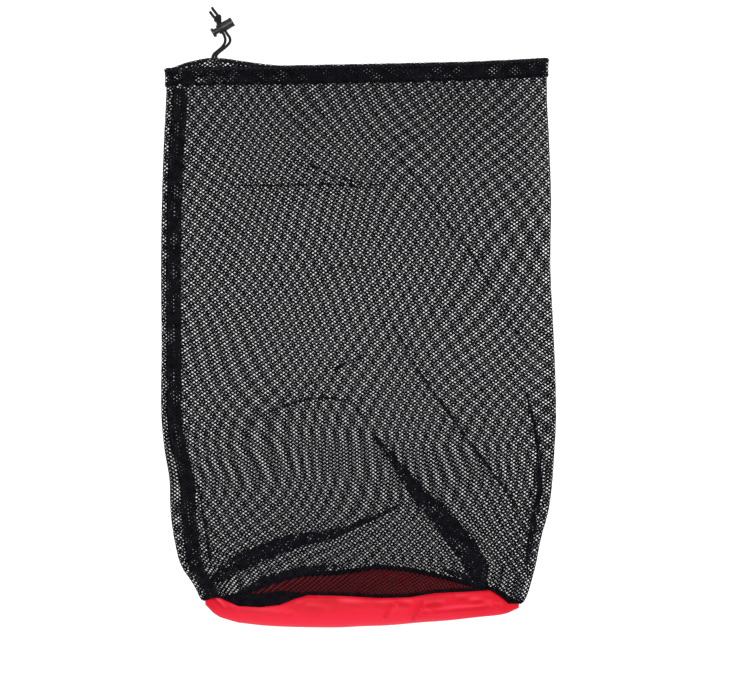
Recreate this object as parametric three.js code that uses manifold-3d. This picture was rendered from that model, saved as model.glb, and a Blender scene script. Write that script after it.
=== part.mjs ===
// A mesh stuff sack with a woven base, lying flat on its back wall, in millimetres with +Z up.
// X runs across the sack and +Y toward its mouth. The origin is the middle of its footprint, on the floor.

import * as THREE from 'three';
import { mergeVertices } from 'three/addons/utils/BufferGeometryUtils.js';
import Module from 'manifold-3d';

const wasm = await Module();
wasm.setup();

// Sizes of the sack as it lies
const sackWidth = 360;
const sackLength = 518;
const seamHeight = 28; // outer height above the base seam, at the middle
const mouthHeight = 17.5; // outer height of the hem, at the middle
const foldRadius = 3.4; // of the middle of the cloth round each side fold
const netWall = 1.2;
const crownSpread = 2.4; // how flat the front wall lies across its middle
const crownRound = 0.9; // below 1, it rises more steeply from the side folds
const seatGap = 0.3; // between pieces that touch

// Hem and drawcord
const hemDepth = 18;
const hemLayer = 1;
const hemRise = 10; // from the lowest place of the hem's top edge to its peak at the cord's exit
const cordRadius = 1.25;
const channelGap = 0.5; // round the drawcord
const exitAcross = 0.118; // of the way from the left fold to the right one
const strandSpacing = 2.9; // between the two strands in the exit

// Side seam, base and its binding
const sideSeamWidth = 14;
const sideSeamInset = 10;
const sideSeamLayer = 1;
const baseWall = 1.4;
const baseFront = 30; // of the base that shows on top, at its tallest
const baseBack = 53; // of the base that lies underneath, at its deepest
const cornerRise = 20; // of the bottom fold at the left corner
const bindingWidth = 7;
const bindingLayer = 1;

// Cord lock, whose own X runs from its button to its closed end
const lockTurn = THREE.MathUtils.degToRad(30.5);
const lockPlace = new THREE.Vector3(-124.2, 285.2, 4.45);
const lockRadius = 4.4;
const lockLength = 15.7;
const lockWall = 1.3;
const lockMouth = 4.1; // from the cords' hole to the barrel's open end
const plungerGap = 0.3;
const plungerTravel = 2.5;
const plungerEnd = 1.8; // of plunger beyond the cords
const buttonRadius = 4.3;
const buttonThickness = 2.6;
const buttonReach = 5.8; // from the barrel's open end to the button's face
const lockEdge = 0.6; // rounding of the moulded edges
const lockCollar = 2.2; // the barrel's collar at its closed end
const lockTaper = 0.25; // by which the barrel narrows toward the collar
const holeSpacing = 2.8; // between the two strands in the cord lock

// End knot, in the cord lock's own directions from the middle of its hole
const knotPlace = new THREE.Vector3(1.2, 8.5, -0.6);
const knotRadius = 3.6;
const knotWidth = 0.86; // across its two strands, as a share
const knotDepth = 0.9;
const knotTilt = 0.35; // of the turn of cord round the knot, in radians

// How finely the cloth is divided
const netRows = 25;
const rowCrowding = 1.3; // above 1, rows crowd toward the base
const frontStops = 30;
const arcSteps = 4;
const lockSides = 18;
const cordSides = 8;
const baseStops = 8; // round the bottom fold
const pleatStops = 24;

// The outline and fullness of the lying sack, a row for each height above the bottom fold.
// along is a share of sackLength, left and right are shares of half of sackWidth, puff goes from
// mouthHeight (0) to seamHeight (1), and seam is a share of sideSeamInset.
const outlineRows = [
  { along: 0.035, left: 0.78, right: 0.822, puff: 1, seam: 0.52 },
  { along: 0.054, left: 0.806, right: 0.851, puff: 1, seam: 0.55 },
  { along: 0.075, left: 0.836, right: 0.871, puff: 0.98, seam: 0.6 },
  { along: 0.107, left: 0.896, right: 0.896, puff: 0.95, seam: 0.7 },
  { along: 0.153, left: 0.932, right: 0.922, puff: 0.88, seam: 0.95 },
  { along: 0.205, left: 0.952, right: 0.962, puff: 0.79, seam: 1 },
  { along: 0.258, left: 0.957, right: 0.982, puff: 0.7, seam: 0.95 },
  { along: 0.311, left: 0.982, right: 0.992, puff: 0.62, seam: 0.72 },
  { along: 0.363, left: 0.997, right: 1, puff: 0.53, seam: 0.56 },
  { along: 0.5, left: 0.997, right: 0.99, puff: 0.36, seam: 0.5 },
  { along: 0.626, left: 1, right: 0.972, puff: 0.24, seam: 0.5 },
  { along: 0.75, left: 0.995, right: 0.975, puff: 0.14, seam: 0.5 },
  { along: 0.85, left: 0.985, right: 0.965, puff: 0.05, seam: 0.55 },
  { along: 0.94, left: 0.972, right: 0.953, puff: 0, seam: 0.62 },
  { along: 1, left: 0.972, right: 0.96, puff: 0, seam: 0.62 },
];

// The hem's top edge across the front and the back, as shares of hemRise.
const hemRows = [
  { across: 0, front: 0, back: 0 },
  { across: 0.04, front: 0.02, back: 0.5 },
  { across: 0.08, front: 0.05, back: 0.84 },
  { across: 0.118, front: 0.08, back: 1 },
  { across: 0.165, front: 0.11, back: 0.82 },
  { across: 0.22, front: 0.14, back: 0.53 },
  { across: 0.306, front: 0.2, back: 0.2 },
  { across: 0.56, front: 0.36, back: 0.36 },
  { across: 0.8, front: 0.55, back: 0.55 },
  { across: 0.93, front: 0.76, back: 0.76 },
  { across: 1, front: 0.92, back: 0.92 },
];

// The base across the sack: nose is the bottom fold's rise as a share of cornerRise, and front and back
// are how far the base reaches up from it, as shares of baseFront and baseBack.
const baseRows = [
  { across: 0, nose: 1, front: 0.13, back: 0.07 },
  { across: 0.03, nose: 0.63, front: 0.46, back: 0.22 },
  { across: 0.05, nose: 0.45, front: 0.59, back: 0.3 },
  { across: 0.075, nose: 0.31, front: 0.56, back: 0.38 },
  { across: 0.1, nose: 0.19, front: 0.52, back: 0.46 },
  { across: 0.17, nose: 0.09, front: 0.56, back: 0.62 },
  { across: 0.235, nose: 0.04, front: 0.67, back: 0.76 },
  { across: 0.285, nose: 0.01, front: 0.87, back: 0.85 },
  { across: 0.33, nose: 0, front: 1, back: 0.9 },
  { across: 0.44, nose: 0.02, front: 0.96, back: 0.92 },
  { across: 0.555, nose: 0.08, front: 0.86, back: 1 },
  { across: 0.645, nose: 0.17, front: 0.82, back: 0.92 },
  { across: 0.72, nose: 0.26, front: 0.88, back: 0.79 },
  { across: 0.835, nose: 0.42, front: 0.82, back: 0.56 },
  { across: 0.89, nose: 0.51, front: 0.79, back: 0.46 },
  { across: 0.93, nose: 0.57, front: 0.54, back: 0.36 },
  { across: 0.965, nose: 0.65, front: 0.28, back: 0.22 },
  { across: 1, nose: 0.86, front: 0.13, back: 0.07 },
];

// The front wall's pleats and creases, each a ridge along a curve from one end through a bend to the
// other. x is a share of half of sackWidth, y of sackLength from the bottom fold, width and height of
// pleatWidth and pleatHeight.
const pleatWidth = 18;
const pleatHeight = 5;
const pleatFall = 4; // how steeply a pleat's sides go down
const pleats = [
  { x1: 0.13, y1: 0.31, xBend: 0.36, yBend: 0.2, x2: 0.7, y2: 0.075, width: 1, height: 1 },
  { x1: -0.04, y1: 0.175, xBend: -0.36, yBend: 0.17, x2: -0.7, y2: 0.085, width: 1, height: 0.9 },
  { x1: -0.55, y1: 0.36, xBend: -0.12, yBend: 0.44, x2: 0.2, y2: 0.28, width: 1.2, height: 0.6 },
  { x1: 0.06, y1: 0.555, xBend: 0.5, yBend: 0.34, x2: 0.79, y2: 0.19, width: 0.9, height: 0.5 },
  { x1: -0.3, y1: 0.84, xBend: 0.15, yBend: 0.78, x2: 0.41, y2: 0.69, width: 1, height: 0.4 },
  { x1: -0.62, y1: 0.765, xBend: -0.2, yBend: 0.8, x2: 0.16, y2: 0.78, width: 1, height: 0.35 },
];
const foldFade = 26; // over which a pleat dies out toward the hem, a side fold or the base seam

// The two strands and the two ends of the drawcord, whose points were chosen by hand.
const strandRoutes = {
  drawcord_strand_1: [
    [-132.4, 256.5, 2.75],
    [-132.35, 259.3, 2.6],
    [-131, 261.9, 1.8],
    [-128.3, 264.2, 1.4],
    [-125.5, 266.5, 1.35],
    [-123.1, 269, 1.4],
    [-121.4, 272, 1.7],
    [-121.1, 275.3, 2.8],
    [-121.9, 278.3, 4.05],
    [-122.8, 280, 4.45],
    [-125.4, 284.5, 4.45],
    [-127.6, 288.3, 4.45],
  ],
  drawcord_strand_2: [
    [-129.5, 256.5, 2.75],
    [-129.45, 259.2, 2.85],
    [-128.6, 261.2, 3.2],
    [-126.6, 263.2, 3.4],
    [-124, 265.3, 3.4],
    [-121.2, 267.5, 3.2],
    [-118.4, 270.2, 2.8],
    [-116.7, 273.2, 2.6],
    [-117, 276.4, 3.2],
    [-118.8, 279.1, 4.1],
    [-120.35, 281.4, 4.45],
    [-123, 285.9, 4.45],
    [-125.2, 289.7, 4.45],
  ],
  drawcord_end_1: [
    [-128.3, 296.9, 3.1],
    [-130.2, 299.6, 2],
    [-132, 302, 1.4],
    [-133.4, 304.2, 1.35],
  ],
  drawcord_end_2: [
    [-131, 294.9, 3.1],
    [-132.6, 296.7, 2],
    [-134, 298.6, 1.4],
    [-135.2, 300.3, 1.35],
  ],
};
const strandStep = 3.2 * cordRadius; // short, since the strands bend tightly

const channelRadius = cordRadius + channelGap;
const hemOuter = channelRadius + hemLayer;
const mouthTop = sackLength / 2 - hemRise; // the lowest place of the hem's top edge
const bandBottom = mouthTop - hemDepth - seatGap;
const liftRun = 4 * hemDepth; // below the hem, over which the back wall comes down to the floor

function tableCurve(rows, by, Interpolant) {
  const names = Object.keys(rows[0]).filter((name) => name !== by);
  const curve = new Interpolant(
    rows.map((row) => row[by]),
    rows.flatMap((row) => names.map((name) => row[name])),
    names.length,
  );
  return (at) => {
    const values = curve.evaluate(at);
    return Object.fromEntries(names.map((name, i) => [name, values[i]]));
  };
}

const outlineCurve = tableCurve(outlineRows, 'along', THREE.CubicInterpolant);
const hemCurve = tableCurve(hemRows, 'across', THREE.LinearInterpolant);
const baseCurve = tableCurve(baseRows, 'across', THREE.LinearInterpolant);

// The middle of the cloth at a height up the sack: its side folds, its back and its crown.
function outlineAt(y) {
  const shares = outlineCurve(Math.min(y, bandBottom) / sackLength + 0.5);
  const rising = THREE.MathUtils.smoothstep(y, bandBottom - liftRun, bandBottom);
  const half = sackWidth / 2;
  const back = THREE.MathUtils.lerp(netWall / 2, hemOuter, rising);
  const fullest = THREE.MathUtils.lerp(mouthHeight - hemOuter, seamHeight - netWall / 2, shares.puff);
  return {
    leftEnd: -half * shares.left + netWall / 2 + foldRadius,
    rightEnd: half * shares.right - netWall / 2 - foldRadius,
    back,
    crown: fullest - back - 2 * foldRadius,
    seam: -half * shares.left + sideSeamInset * shares.seam,
  };
}

const pleatCurves = pleats.map((pleat) => {
  const place = (x, y) => new THREE.Vector2(x * sackWidth / 2, (y - 0.5) * sackLength);
  const curve = new THREE.QuadraticBezierCurve(
    place(pleat.x1, pleat.y1),
    place(pleat.xBend, pleat.yBend),
    place(pleat.x2, pleat.y2),
  );
  const points = curve.getPoints(pleatStops);
  return { points, width: pleatWidth * pleat.width, height: pleatHeight * pleat.height };
});

function pleatHeightAt(x, y) {
  const here = new THREE.Vector2(x, y);
  return pleatCurves.reduce((sum, { points, width, height }) => {
    const away = Math.min(...points.map((point) => point.distanceTo(here)));
    return sum + height * Math.exp(-pleatFall * (away / width) ** 2);
  }, 0);
}

function seamLine(across, side) {
  const row = baseCurve(across);
  const rise = side === 'front' ? row.front * baseFront : row.back * baseBack;
  return -sackLength / 2 + row.nose * cornerRise + rise;
}

function frontHeight(x, y) {
  const outline = outlineAt(y);
  const across = THREE.MathUtils.inverseLerp(outline.leftEnd, outline.rightEnd, x);
  const bulge = (1 - Math.min(1, Math.abs(2 * across - 1)) ** crownSpread) ** crownRound;
  const fromEnds = Math.min(bandBottom - y, y - seamLine(across, 'front'));
  const clear = Math.min(x - outline.leftEnd, outline.rightEnd - x, fromEnds);
  const fade = THREE.MathUtils.smoothstep(clear, 0, foldFade);
  return outline.back + 2 * foldRadius + outline.crown * bulge + fade * pleatHeightAt(x, y);
}

// Stations go once round the flattened tube: up the left fold, over the front, down the right fold
// and back along the floor.
const backShares = [0.97, 0.91, 0.8, 0.68, 0.555, 0.45, 0.306, 0.22, 0.165, exitAcross, 0.08, 0.04];
const foldStations = (side, start) => Array.from({ length: arcSteps + 1 }, (_, i) => {
  return { side, turn: Math.PI * (start - i / arcSteps) };
});
const stations = [
  ...foldStations('left', 1.5),
  ...[0, 0.5, 1].map((seamShare) => ({ side: 'front', seamShare })),
  ...Array.from({ length: frontStops - 1 }, (_, i) => ({ side: 'front', share: (i + 1) / frontStops })),
  ...foldStations('right', 0.5),
  ...backShares.map((share) => ({ side: 'back', share })),
];
const frontStations = stations.filter((station) => station.side === 'front');
const exitStation = stations.find((station) => station.share === exitAcross);
const hemStations = stations.filter((station) => {
  return station.side !== 'front' || frontStations.indexOf(station) % 2 === 1;
});

function stationX(station, y) {
  const outline = outlineAt(y);
  if (station.side === 'left') return outline.leftEnd;
  if (station.side === 'right') return outline.rightEnd;
  if (station.side === 'back') return THREE.MathUtils.lerp(outline.leftEnd, outline.rightEnd, station.share);
  const seamX = outline.seam + sideSeamWidth * (station.seamShare ?? 1);
  return THREE.MathUtils.lerp(seamX, outline.rightEnd, station.share ?? 0);
}

function acrossOf(station, y) {
  const outline = outlineAt(y);
  return THREE.MathUtils.inverseLerp(outline.leftEnd, outline.rightEnd, stationX(station, y));
}

// A point of the cloth at a station, offset outward from its middle.
function clothPoint(station, y, offset) {
  const { back } = outlineAt(y);
  const x = stationX(station, y);
  if (station.side === 'back') return new THREE.Vector3(x, y, back - offset);
  if (station.side === 'front') {
    const slope = (frontHeight(x + 1, y) - frontHeight(x - 1, y)) / 2;
    const out = new THREE.Vector2(-slope, 1).normalize().multiplyScalar(offset);
    return new THREE.Vector3(x + out.x, y, frontHeight(x, y) + out.y);
  }
  const radius = foldRadius + offset;
  return new THREE.Vector3(
    x + radius * Math.cos(station.turn),
    y,
    back + foldRadius + radius * Math.sin(station.turn),
  );
}

function hemTop(station) {
  const rise = hemCurve(acrossOf(station, mouthTop));
  return mouthTop + hemRise * (station.side === 'back' ? rise.back : rise.front);
}

// The height where the net ends at the base seam. It is found in two steps, since the sack narrows there.
function netEnd(station) {
  const side = station.side === 'back' ? 'back' : 'front';
  const near = seamLine(acrossOf(station, seamLine(0, side)), side);
  return seamLine(acrossOf(station, near), side);
}

// The net's rows: one up inside the hem, the next just under it, and the rest down to the base seam.
function netRowHeights(station) {
  const top = hemTop(station);
  const under = top - hemDepth - seatGap;
  const end = netEnd(station) + seatGap / 2;
  const rows = [top - 2 * hemOuter - seatGap];
  for (let k = 0; k <= netRows; k++) {
    rows.push(THREE.MathUtils.lerp(end + bindingWidth, under, (1 - k / netRows) ** rowCrowding));
  }
  return [...rows, end];
}

function enclosedVolume(points, index) {
  let volume = 0;
  for (let i = 0; i < index.length; i += 3) {
    const [a, b, c] = [points[index[i]], points[index[i + 1]], points[index[i + 2]]];
    volume += a.dot(b.clone().cross(c)) / 6;
  }
  return volume;
}

// A closed body from equal rings of points. Looped, the last ring joins the first. Otherwise each end
// ring is filled in, strip by strip, between its first half and its second. The two halves are split
// into triangles the same way, so that layers of cloth with the same rows lie parallel.
function ringBody(rings, looped) {
  const size = rings[0].length;
  const points = rings.flat();
  const index = [];
  const quad = (a, b, c, d) => index.push(a, b, c, a, c, d);
  for (let i = 0; i < rings.length - (looped ? 0 : 1); i++) {
    const next = (i + 1) % rings.length;
    for (let j = 0; j < size; j++) {
      const beside = (j + 1) % size;
      const corners = [i * size + j, next * size + j, next * size + beside, i * size + beside];
      if (j >= size / 2) corners.push(corners.shift());
      quad(...corners);
    }
  }
  const last = (rings.length - 1) * size;
  for (let j = 0; !looped && j < size / 2 - 1; j++) {
    quad(j, j + 1, size - 2 - j, size - 1 - j);
    quad(last + size - 1 - j, last + size - 2 - j, last + j + 1, last + j);
  }
  const geometry = new THREE.BufferGeometry();
  geometry.setFromPoints(points);
  geometry.setIndex(enclosedVolume(points, index) < 0 ? index.reverse() : index);
  return geometry;
}

function toSolid(geometry) {
  const plain = geometry.clone();
  plain.deleteAttribute('normal');
  plain.deleteAttribute('uv');
  const merged = mergeVertices(plain, 1e-4);
  const triangles = [];
  for (let i = 0; i < merged.index.count; i += 3) {
    const [a, b, c] = merged.index.array.slice(i, i + 3);
    if (a !== b && b !== c && c !== a) triangles.push(a, b, c);
  }
  return new wasm.Manifold(new wasm.Mesh({
    numProp: 3,
    vertProperties: new Float32Array(merged.attributes.position.array),
    triVerts: new Uint32Array(triangles),
  }));
}

function fromSolid(solid) {
  const mesh = solid.getMesh();
  const geometry = new THREE.BufferGeometry();
  geometry.setAttribute('position', new THREE.BufferAttribute(mesh.vertProperties, 3));
  geometry.setIndex(new THREE.BufferAttribute(mesh.triVerts, 1));
  return geometry;
}

// A round-ended hole for the two strands, running along Y through the origin.
function strandHole(width, reach) {
  const radius = cordRadius + seatGap;
  const outline = new THREE.Shape();
  outline.absarc(width / 2 - radius, 0, radius, -Math.PI / 2, Math.PI / 2);
  outline.absarc(radius - width / 2, 0, radius, Math.PI / 2, 1.5 * Math.PI);
  const hole = new THREE.ExtrudeGeometry(outline, { depth: reach, bevelEnabled: false, curveSegments: 4 });
  return hole.translate(0, 0, -reach / 2).rotateX(Math.PI / 2);
}

// A layer of cloth along the net's rows from the given one down, between two offsets from its middle.
function clothLayer(layerStations, firstRow, outerOffset, innerOffset, looped) {
  return ringBody(layerStations.map((station) => {
    const heights = netRowHeights(station).slice(firstRow);
    const outer = heights.map((y) => clothPoint(station, y, outerOffset));
    const inner = heights.map((y) => clothPoint(station, y, innerOffset));
    return [...outer, ...inner.reverse()];
  }), looped);
}

function meshBody() {
  return clothLayer(stations, 0, netWall / 2, -netWall / 2, true);
}

// The turned-over band: a round channel at the top, and a leg on either side of the net.
function hemBand() {
  const leg = netWall / 2 + seatGap;
  const neck = 2 * hemOuter;
  const arc = (radius) => [0, 45, 90, 135, 180].map((degrees) => {
    const angle = THREE.MathUtils.degToRad(degrees);
    return [radius * Math.cos(angle), hemOuter - radius * Math.sin(angle)];
  });
  const shell = (side, radius) => {
    return [[side, hemDepth], [side, neck], ...arc(radius), [-side, neck], [-side, hemDepth]];
  };
  const profile = [...shell(leg + hemLayer, hemOuter), ...shell(leg, channelRadius).reverse()];
  const band = ringBody(hemStations.map((station) => {
    const top = hemTop(station);
    return profile.map(([offset, depth]) => clothPoint(station, top - depth, offset));
  }), true);
  const exit = clothPoint(exitStation, hemTop(exitStation), 0);
  const hole = strandHole(strandSpacing + 2 * (cordRadius + seatGap), 2 * hemOuter).translate(...exit);
  return fromSolid(toSolid(band).subtract(toSolid(hole)));
}

// The drawcord's way round inside the channel, from one side of the exit to the other.
function cordInHem() {
  const exitIndex = hemStations.indexOf(exitStation);
  const { leftEnd, rightEnd } = outlineAt(mouthTop);
  const aside = (strandSpacing / 2 + cordRadius + seatGap) / (rightEnd - leftEnd);
  const route = [
    { side: 'back', share: exitAcross - aside },
    ...hemStations.slice(exitIndex + 1),
    ...hemStations.slice(0, exitIndex),
    { side: 'back', share: exitAcross + aside },
  ];
  return ringBody(route.map((station) => {
    const y = hemTop(station) - hemOuter;
    return Array.from({ length: cordSides }, (_, i) => {
      const angle = (i + 0.5) * 2 * Math.PI / cordSides;
      return clothPoint(station, y + cordRadius * Math.sin(angle), cordRadius * Math.cos(angle));
    });
  }), false);
}

// The doubled strip that lies on the net beside the left fold, from the hem to the base.
function sideSeam() {
  const seamStations = stations.filter((station) => station.seamShare !== undefined);
  const low = netWall / 2 + seatGap;
  return clothLayer(seamStations, 1, low + sideSeamLayer, low, false);
}

// The strip of turned edges against the inside of the net, just above the base seam.
function baseBinding() {
  const near = -netWall / 2 - seatGap;
  return clothLayer(stations, -2, near, near - bindingLayer, true);
}

// The height of the net's lower edge on the back wall at x, on the straight line between its stations.
function backEdgeAt(x) {
  const edge = stations.filter((station) => station.side === 'back').map((station) => {
    return clothPoint(station, netEnd(station), 0);
  });
  const ends = [stations.findLast((station) => station.side === 'right'), stations[0]];
  const [right, left] = ends.map((station) => clothPoint(station, netEnd(station), 0));
  const line = [right, ...edge, left];
  const after = Math.max(1, line.findIndex((point) => point.x <= x));
  const [from, to] = [line[after - 1], line[after]];
  return THREE.MathUtils.mapLinear(x, from.x, to.x, from.y, to.y);
}

// The folded base: from the seam on top, round the bottom fold, and back along the floor.
function basePanel() {
  const topStations = stations.slice(arcSteps, arcSteps + frontStations.length + 2);
  return ringBody(topStations.map((station) => {
    const seam = netEnd(station);
    const edge = clothPoint(station, seam, netWall / 2);
    const nose = baseCurve(acrossOf(station, seam)).nose * cornerRise - sackLength / 2;
    const front = seam - seatGap / 2;
    const back = backEdgeAt(edge.x) - 2 * seatGap;
    const turn = Math.min(front, back - seatGap);
    const profile = Array.from({ length: baseStops + 1 }, (_, i) => {
      const angle = Math.PI * (0.5 - i / baseStops);
      const depth = angle > 0 ? front - nose : turn - nose;
      const centre = angle > 0 ? front : turn;
      return new THREE.Vector2(centre - depth * Math.cos(angle), edge.z * (1 + Math.sin(angle)) / 2);
    });
    profile.push(new THREE.Vector2(back, 0));
    const inner = profile.map((point, i) => {
      if (i === 0) return new THREE.Vector2(point.x, point.y - baseWall);
      if (i === profile.length - 1) return new THREE.Vector2(point.x, point.y + baseWall);
      const along = profile[i + 1].clone().sub(profile[i - 1]).setLength(baseWall);
      return new THREE.Vector2(point.x - along.y, point.y + along.x);
    });
    return [...profile, ...inner.reverse()].map((point) => new THREE.Vector3(edge.x, point.x, point.y));
  }), false);
}

function cordAlong(points) {
  const path = new THREE.CatmullRomCurve3(points.map((point) => new THREE.Vector3(...point)));
  const section = new THREE.Shape(Array.from({ length: cordSides }, (_, i) => {
    const angle = i * 2 * Math.PI / cordSides;
    return new THREE.Vector2(cordRadius * Math.cos(angle), cordRadius * Math.sin(angle));
  }));
  const steps = Math.ceil(path.getLength() / strandStep);
  return new THREE.ExtrudeGeometry(section, { steps, extrudePath: path, bevelEnabled: false });
}

// The cord lock's two pieces are turned about their own X, whose zero is the middle of the cords' hole.
const holeHalf = holeSpacing / 2 + cordRadius + seatGap;
const plungerRadius = lockRadius - lockWall - plungerGap;

function turnedPiece(profile) {
  const points = profile.map(([along, radius]) => new THREE.Vector2(radius, along));
  return new THREE.LatheGeometry(points, lockSides).rotateZ(-Math.PI / 2);
}

function lockBarrel() {
  const end = lockLength - lockMouth;
  const shell = turnedPiece([
    [end - lockWall, 0],
    [end - lockWall, plungerRadius + plungerGap],
    [-lockMouth, plungerRadius + plungerGap],
    [-lockMouth, lockRadius - lockEdge / 2],
    [lockEdge / 2 - lockMouth, lockRadius],
    [end - lockCollar, lockRadius - lockTaper],
    [end - lockCollar, lockRadius],
    [end - lockEdge, lockRadius],
    [end, lockRadius - lockEdge],
    [end, 0],
  ]);
  return fromSolid(toSolid(shell).subtract(toSolid(strandHole(2 * holeHalf, 4 * lockRadius))));
}

function lockPlunger() {
  const face = -lockMouth - buttonReach;
  const shaft = turnedPiece([
    [face, 0],
    [face, buttonRadius - lockEdge],
    [face + lockEdge, buttonRadius],
    [face + buttonThickness - lockEdge, buttonRadius],
    [face + buttonThickness, buttonRadius - lockEdge],
    [face + buttonThickness, plungerRadius],
    [holeHalf + plungerEnd, plungerRadius],
    [holeHalf + plungerEnd, 0],
  ]);
  const slot = strandHole(2 * holeHalf + plungerTravel, 4 * lockRadius).translate(-plungerTravel / 2, 0, 0);
  return fromSolid(toSolid(shaft).subtract(toSolid(slot)));
}

function endKnot() {
  const core = new THREE.SphereGeometry(knotRadius, 10, 8).scale(knotWidth, 1, knotDepth);
  const turn = new THREE.TorusGeometry(knotRadius - cordRadius, cordRadius, 6, 12);
  return fromSolid(toSolid(core).add(toSolid(turn.rotateX(Math.PI / 2).rotateZ(knotTilt))));
}

function finish(color, roughness) {
  return new THREE.MeshStandardMaterial({ color, roughness, metalness: 0 });
}

const netFinish = finish(0x25232a, 0.8);
const hemFinish = finish(0x1d1b22, 0.85);
const baseFinish = finish(0xe4122f, 0.6);
const cordFinish = finish(0x141318, 0.9);
const lockFinish = finish(0x1b1c20, 0.35);

function add(parent, name, geometry, material) {
  const mesh = new THREE.Mesh(geometry, material);
  mesh.name = name;
  parent.add(mesh);
  return mesh;
}

const sack = new THREE.Group();
add(sack, 'mesh_body', meshBody(), netFinish);
add(sack, 'hem', hemBand(), hemFinish);
add(sack, 'side_seam', sideSeam(), hemFinish);
add(sack, 'base_panel', basePanel(), baseFinish);
add(sack, 'base_seam_binding', baseBinding(), hemFinish);
add(sack, 'drawcord_in_hem', cordInHem(), cordFinish);
for (const [name, points] of Object.entries(strandRoutes)) {
  add(sack, name, cordAlong(points), cordFinish);
}

const lock = new THREE.Group();
lock.position.copy(lockPlace);
lock.rotation.z = lockTurn;
add(lock, 'cord_lock_barrel', lockBarrel(), lockFinish);
add(lock, 'cord_lock_plunger', lockPlunger(), lockFinish);
add(lock, 'end_knot', endKnot(), cordFinish).position.copy(knotPlace);
sack.add(lock);

export default sack;
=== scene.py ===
import math

import bmesh
import bpy
import numpy as np
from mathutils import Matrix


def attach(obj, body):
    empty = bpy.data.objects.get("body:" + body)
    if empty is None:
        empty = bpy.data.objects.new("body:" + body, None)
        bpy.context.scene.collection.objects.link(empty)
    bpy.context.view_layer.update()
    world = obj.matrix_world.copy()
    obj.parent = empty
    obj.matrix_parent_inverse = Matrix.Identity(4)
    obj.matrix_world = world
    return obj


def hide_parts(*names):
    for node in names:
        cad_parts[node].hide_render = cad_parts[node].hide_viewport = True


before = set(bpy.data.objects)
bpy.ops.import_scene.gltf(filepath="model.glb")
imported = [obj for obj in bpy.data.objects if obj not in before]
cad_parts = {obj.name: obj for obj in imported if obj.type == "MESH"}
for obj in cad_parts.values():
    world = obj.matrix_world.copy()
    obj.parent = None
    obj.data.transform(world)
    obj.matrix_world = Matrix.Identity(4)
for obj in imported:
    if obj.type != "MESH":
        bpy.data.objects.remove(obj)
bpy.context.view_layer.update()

mm = 0.001
photo = {"width": 732, "mmPerPixel": 0.9088, "middle": (6.8, 3.6)}
view = {"distance": 4.0, "sensor": 36.0, "reach": 20}


# camera, and helpers for meshes and nodes
def addCamera():
    camera = bpy.data.objects.new("camera", bpy.data.cameras.new("camera"))
    bpy.context.collection.objects.link(camera)
    acrossView = photo["width"] * photo["mmPerPixel"] * mm
    camera.location = (photo["middle"][0] * mm, photo["middle"][1] * mm, view["distance"])
    camera.data.sensor_width = view["sensor"]
    camera.data.lens = view["sensor"] * view["distance"] / acrossView
    camera.data.clip_end = view["reach"]
    bpy.context.scene.camera = camera


def linkMesh(name, mesh, material=None):
    piece = bpy.data.objects.new(name, mesh)
    bpy.context.collection.objects.link(piece)
    if material:
        mesh.materials.clear()
        mesh.materials.append(material)
    return piece


def meshFrom(name, points, faces, smooth=True):
    mesh = bpy.data.meshes.new(name)
    mesh.from_pydata([tuple(point) for point in points], [], [tuple(face) for face in faces])
    mesh.validate()
    mesh.polygons.foreach_set("use_smooth", [smooth] * len(mesh.polygons))
    mesh.update()
    return mesh


def dropHelpers(*helpers):
    for helper in helpers:
        bpy.data.objects.remove(helper)


def applied(piece):
    # the piece's mesh as its modifiers make it
    graph = bpy.context.evaluated_depsgraph_get()
    mesh = bpy.data.meshes.new_from_object(piece.evaluated_get(graph), depsgraph=graph)
    piece.modifiers.clear()
    return mesh


def addNode(tree, kind, inputs, settings):
    node = tree.nodes.new(kind)
    for key, value in settings.items():
        setattr(node, key, value)
    for key, value in (inputs or {}).items():
        if isinstance(value, bpy.types.NodeSocket):
            tree.links.new(value, node.inputs[key])
        else:
            node.inputs[key].default_value = value
    return node


# materials
class Finish:
    def __init__(self, name, **values):
        self.material = bpy.data.materials.new(name)
        self.material.use_nodes = True
        self.tree = self.material.node_tree
        self.shader = self.tree.nodes["Principled BSDF"]
        for socket, value in values.items():
            self.shader.inputs[socket.replace("_", " ")].default_value = value

    def add(self, kind, inputs=None, **settings):
        return addNode(self.tree, kind, inputs, settings)

    def join(self, output, socket):
        self.tree.links.new(output, self.shader.inputs[socket])

    def ramp(self, source, stops):
        node = self.add("ShaderNodeValToRGB", {"Fac": source})
        while len(node.color_ramp.elements) < len(stops):
            node.color_ramp.elements.new(1.0)
        for element, (place, color) in zip(node.color_ramp.elements, stops):
            element.position = place
            element.color = (*color, 1)
        return node.outputs["Color"]

    def bump(self, height, distance, strength=1.0):
        node = self.add("ShaderNodeBump", {"Height": height, "Distance": distance, "Strength": strength})
        self.join(node.outputs["Normal"], "Normal")

    def noise(self, place, scale, detail, roughness=0.5):
        return self.add("ShaderNodeTexNoise", {
            "Vector": place, "Scale": scale, "Detail": detail, "Roughness": roughness,
        }).outputs["Fac"]

    def mixed(self, factor, first, second):
        node = self.add("ShaderNodeMix", {"Factor": factor, 6: first, 7: second}, data_type="RGBA")
        return node.outputs[2]


def objectPlace(finish):
    return finish.add("ShaderNodeTexCoord").outputs["Object"]


def yarnFinish(name, dark, light, fibre=2600.0):
    finish = Finish(name, Roughness=0.82, Specular_IOR_Level=0.05, Sheen_Weight=0.006, Sheen_Roughness=0.5)
    place = objectPlace(finish)
    patches = finish.noise(place, 160.0, 4.0)
    finish.join(finish.ramp(patches, [(0.3, dark), (0.72, light)]), "Base Color")
    finish.bump(finish.noise(place, fibre, 2.0), 0.00012, 0.6)
    return finish.material


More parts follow.
